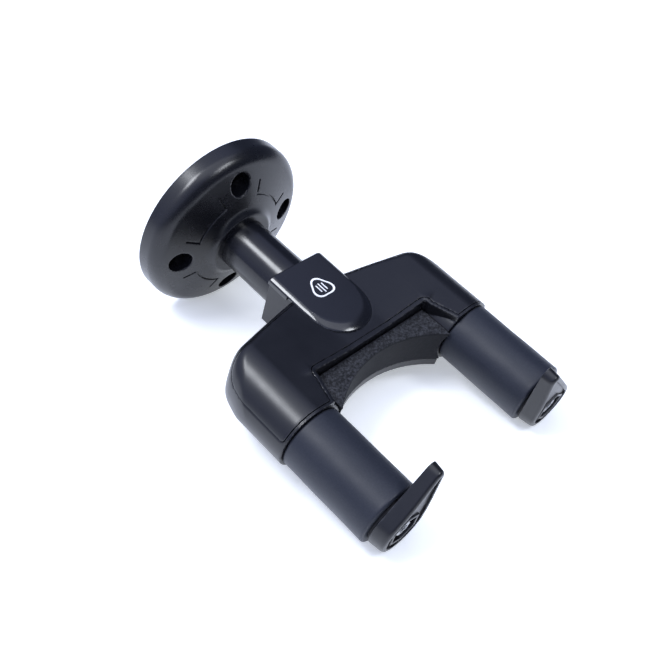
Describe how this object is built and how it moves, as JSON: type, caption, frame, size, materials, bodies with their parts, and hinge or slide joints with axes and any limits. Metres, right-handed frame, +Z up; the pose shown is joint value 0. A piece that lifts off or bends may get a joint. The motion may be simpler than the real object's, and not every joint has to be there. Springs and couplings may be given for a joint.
{
  "type": "wall guitar hanger",
  "caption": "Round wall plate with a tube carrying a padded two-arm yoke whose tip gates turn inward to lock an instrument's neck when the yoke is pulled down.",
  "frame": {"origin": "centre of the wall plate's back face, on the wall", "axes": "+Y into the wall, the tube and both arms along -Y, +Z up, X across the arms"},
  "size_m": [0.1046, 0.1379, 0.07],
  "materials": {
    "gloss_black": "gloss",
    "satin_black": "satin",
    "white_print": "printed",
    "steel": "zinc plated",
    "nylon": "matte",
    "rubber_black": "matte",
    "foam_grey": "matte foam"
  },
  "bodies": {
    "wall_mount": {"wall_plate": "gloss_black", "tube": "gloss_black", "tube_base_plug": "steel", "plate_bolt": "steel", "plate_bolt_washer": "steel", "swivel_plug": "steel", "swivel_screw": "steel", "swivel_washer": "nylon"},
    "head": {"head_block": "gloss_black", "swivel_stop_screw": "steel", "badge_cover": "gloss_black", "badge_emblem": "white_print", "trigger_bar": "steel", "trigger_bar_screws": "steel", "return_spring_left": "steel", "return_spring_right": "steel"},
    "yoke": {"yoke_top_cover": "satin_black", "yoke_lower_shell": "satin_black", "cover_screws": "steel", "crotch_pad": "foam_grey", "arm_core_left": "steel", "arm_core_right": "steel", "foam_sleeve_left": "foam_grey", "foam_sleeve_right": "foam_grey", "rear_bush_left": "nylon", "rear_bush_right": "nylon", "front_bush_left": "nylon", "front_bush_right": "nylon"},
    "gate_left": {"gate_shaft_left": "steel", "gate_crank_left": "steel", "gate_lever_left": "gloss_black", "gate_screw_left": "steel", "end_washer_left": "rubber_black"},
    "gate_right": {"gate_shaft_right": "steel", "gate_crank_right": "steel", "gate_lever_right": "gloss_black", "gate_screw_right": "steel", "end_washer_right": "rubber_black"}
  },
  "joints": [
    {"name": "head_swivel", "type": "hinge", "parent": "wall_mount", "child": "head", "pos_m": [0, -0.05, 0], "axis": [0, 1, 0], "range_deg": [-25, 25]},
    {"name": "yoke_drop", "type": "slide", "parent": "head", "child": "yoke", "axis": [0, 0, -1], "range_m": [0, 0.006], "stiffness_N_per_m": 1500, "springref_m": -0.004, "deforming": ["return_spring_left", "return_spring_right"]},
    {"name": "gate_left_turn", "type": "hinge", "parent": "yoke", "child": "gate_left", "pos_m": [-0.0394, -0.1, 0], "axis": [0, 1, 0], "range_deg": [0, 66.2]},
    {"name": "gate_right_turn", "type": "hinge", "parent": "yoke", "child": "gate_right", "pos_m": [0.0394, -0.1, 0], "axis": [0, -1, 0], "range_deg": [0, 66.2]}
  ],
  "couplings": [
    {"joint": "gate_left_turn", "follows": "yoke_drop", "rad_per_m": 191.99},
    {"joint": "gate_right_turn", "follows": "yoke_drop", "rad_per_m": 191.99}
  ]
}
